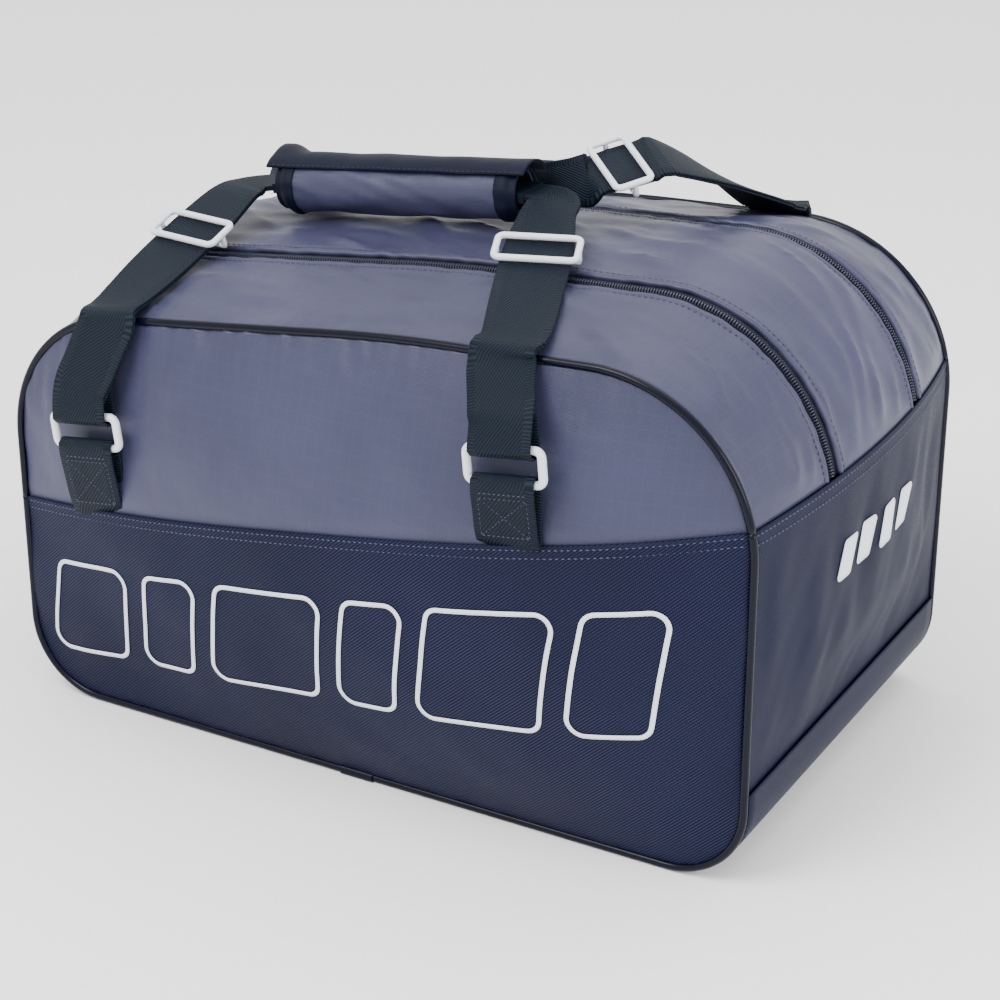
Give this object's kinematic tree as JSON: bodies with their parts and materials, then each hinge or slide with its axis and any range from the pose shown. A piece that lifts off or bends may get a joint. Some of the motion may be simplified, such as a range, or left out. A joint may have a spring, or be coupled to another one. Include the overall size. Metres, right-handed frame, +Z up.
{
  "type": "paddle case",
  "caption": "Wedge-shaped padel bag with two zipped compartments, swollen fabric panels with piped edges, a padded grip and webbing handles on plastic rings.",
  "frame": {"origin": "middle of the flat base, on the floor", "axes": "+X along the bag towards its high end, +Y from the front panel to the rear panel, +Z up"},
  "size_m": [0.5258, 0.3724, 0.3582],
  "materials": {
    "slate_nylon": "slate-blue plain-weave nylon with a soft sheen",
    "navy_fabric": "navy polyester twill with a slight sheen",
    "piping_vinyl": "glossy navy vinyl piping and binding",
    "navy_webbing": "dark navy woven webbing with ribbed edges",
    "white_plastic": "white moulded acetal, semi-gloss",
    "zip_coil": "blue-grey nylon coil",
    "zip_tape": "dark navy woven zip tape",
    "painted_slider": "dark navy painted zinc",
    "board": "black plastic stiffener",
    "lining": "navy lining over foam"
  },
  "bodies": {
    "root": {"base_panel": "navy_fabric", "base_board": "board", "divider": "lining", "front_panel_lower": "navy_fabric", "rear_panel_lower": "navy_fabric", "end_panel_left": "navy_fabric", "end_panel_right": "navy_fabric", "center_gusset": "slate_nylon", "front_piping_lower": "piping_vinyl", "rear_piping_lower": "piping_vinyl", "front_piping_sleeve": "piping_vinyl", "rear_piping_sleeve": "piping_vinyl", "front_zip_tape_bag": "zip_tape", "front_zip_coil_bag": "zip_coil", "rear_zip_tape_bag": "zip_tape", "rear_zip_coil_bag": "zip_coil"},
    "front_lid": {"front_panel_upper": "slate_nylon", "front_gusset_strip": "slate_nylon", "front_piping_upper": "piping_vinyl", "front_zip_tape_lid": "zip_tape", "front_zip_coil_lid": "zip_coil", "front_anchor_tab_left": "navy_webbing", "front_anchor_tab_right": "navy_webbing"},
    "rear_lid": {"rear_panel_upper": "slate_nylon", "rear_gusset_strip": "slate_nylon", "rear_piping_upper": "piping_vinyl", "rear_zip_tape_lid": "zip_tape", "rear_zip_coil_lid": "zip_coil", "rear_anchor_tab_left": "navy_webbing", "rear_anchor_tab_right": "navy_webbing"},
    "front_handle": {"front_ring_left": "white_plastic", "front_ring_right": "white_plastic", "front_strap_left": "navy_webbing", "front_strap_right": "navy_webbing", "grip_core": "navy_webbing", "grip_pad": "slate_nylon", "grip_binding_left": "piping_vinyl", "grip_binding_right": "piping_vinyl", "grip_fastener_strip": "navy_fabric", "grip_flap": "navy_fabric"},
    "rear_handle": {"rear_ring_left": "white_plastic", "rear_ring_right": "white_plastic", "rear_strap_left": "navy_webbing", "rear_strap_right": "navy_webbing", "rear_strap_core": "navy_webbing"},
    "front_slide_left": {"front_slide_left": "white_plastic"},
    "front_slide_right": {"front_slide_right": "white_plastic"},
    "rear_slide_left": {"rear_slide_left": "white_plastic"},
    "rear_slide_right": {"rear_slide_right": "white_plastic"},
    "front_slider": {"front_slider": "painted_slider"},
    "front_pull": {"front_pull": "painted_slider"},
    "rear_slider": {"rear_slider": "painted_slider"},
    "rear_pull": {"rear_pull": "painted_slider"}
  },
  "joints": [
    {"name": "front_lid_hinge", "type": "hinge", "parent": "root", "child": "front_lid", "pos_m": [0, -0.18866, 0.1765], "axis": [0.9839, 0, 0.1787], "range_deg": [0, 30]},
    {"name": "rear_lid_hinge", "type": "hinge", "parent": "root", "child": "rear_lid", "pos_m": [0, 0.18866, 0.1765], "axis": [-0.9839, 0, -0.1787], "range_deg": [0, 30]},
    {"name": "front_handle_swing", "type": "hinge", "parent": "front_lid", "child": "front_handle", "pos_m": [-0.175, -0.16265, 0.18871], "axis": [0.9863, -0.0455, 0.1587], "range_deg": [0, 120]},
    {"name": "rear_handle_swing", "type": "hinge", "parent": "rear_lid", "child": "rear_handle", "pos_m": [-0.175, 0.16265, 0.18871], "axis": [-0.9863, -0.0455, -0.1587], "range_deg": [0, 120]},
    {"name": "front_left_adjust", "type": "slide", "parent": "front_handle", "child": "front_slide_left", "axis": [0.0746, 0.9432, 0.3237], "range_m": [-0.008, 0.004]},
    {"name": "front_right_adjust", "type": "slide", "parent": "front_handle", "child": "front_slide_right", "axis": [-0.331, 0.9099, 0.2501], "range_m": [-0.008, 0.004]},
    {"name": "rear_left_adjust", "type": "slide", "parent": "rear_handle", "child": "rear_slide_left", "axis": [0.0961, -0.9087, 0.4063], "range_m": [-0.008, 0.004]},
    {"name": "rear_right_adjust", "type": "slide", "parent": "rear_handle", "child": "rear_slide_right", "axis": [-0.7107, -0.6712, -0.2109], "range_m": [-0.002, 0.002]},
    {"name": "front_zip_slide", "type": "slide", "parent": "root", "child": "front_slider", "axis": [0, 0, 1], "range_m": [0, 0.02]},
    {"name": "rear_zip_slide", "type": "slide", "parent": "root", "child": "rear_slider", "axis": [0, 0, 1], "range_m": [0, 0.02]},
    {"name": "front_pull_swing", "type": "hinge", "parent": "front_slider", "child": "front_pull", "pos_m": [-0.26247, -0.06043, 0.1464], "axis": [-0.0975, 0.9952, 0], "range_deg": [0, 140]},
    {"name": "rear_pull_swing", "type": "hinge", "parent": "rear_slider", "child": "rear_pull", "pos_m": [-0.26247, 0.06043, 0.1464], "axis": [0.0975, 0.9952, 0], "range_deg": [0, 140]}
  ]
}
